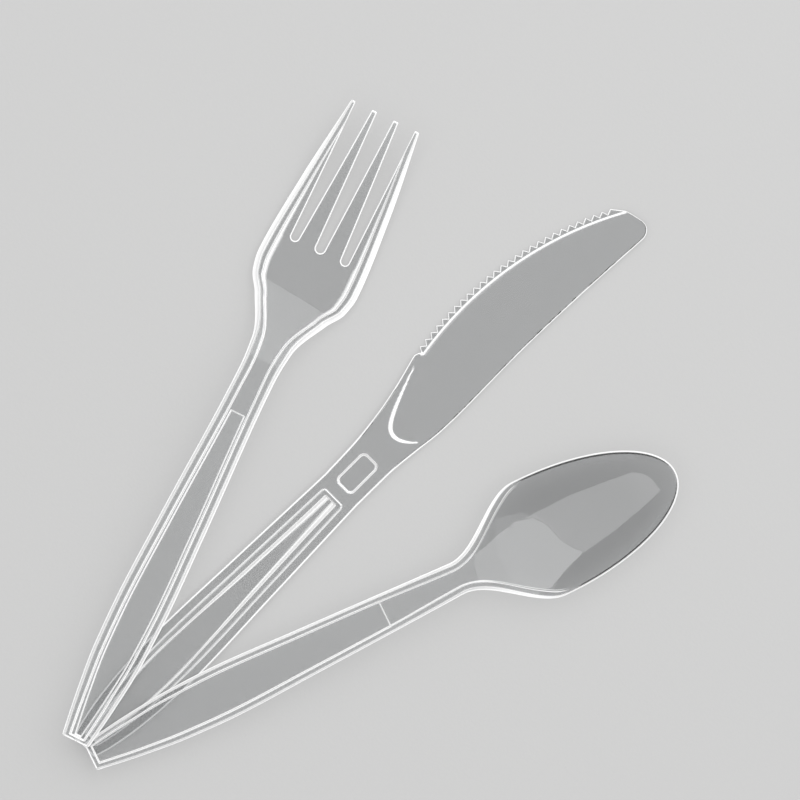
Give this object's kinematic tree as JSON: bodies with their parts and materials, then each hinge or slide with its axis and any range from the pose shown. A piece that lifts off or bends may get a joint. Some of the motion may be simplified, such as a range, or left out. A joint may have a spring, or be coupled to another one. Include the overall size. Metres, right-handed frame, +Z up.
{
  "type": "plastic cutlery pack",
  "caption": "Clear plastic fork, serrated knife and spoon in one set, lying fanned out with their handle ends overlapping.",
  "frame": {"origin": "on the table, under the centre of the whole pack's footprint", "axes": "+Z up from the table, +Y along the knife from its handle end to its tip, so the fork is towards -X and the spoon towards +X"},
  "size_m": [0.1288, 0.1918, 0.0093],
  "materials": {
    "clear_plastic": "clear, colourless, glossy injection-moulded polystyrene"
  },
  "bodies": {
    "root": {"fork": "clear_plastic", "knife": "clear_plastic", "spoon": "clear_plastic"}
  },
  "joints": []
}
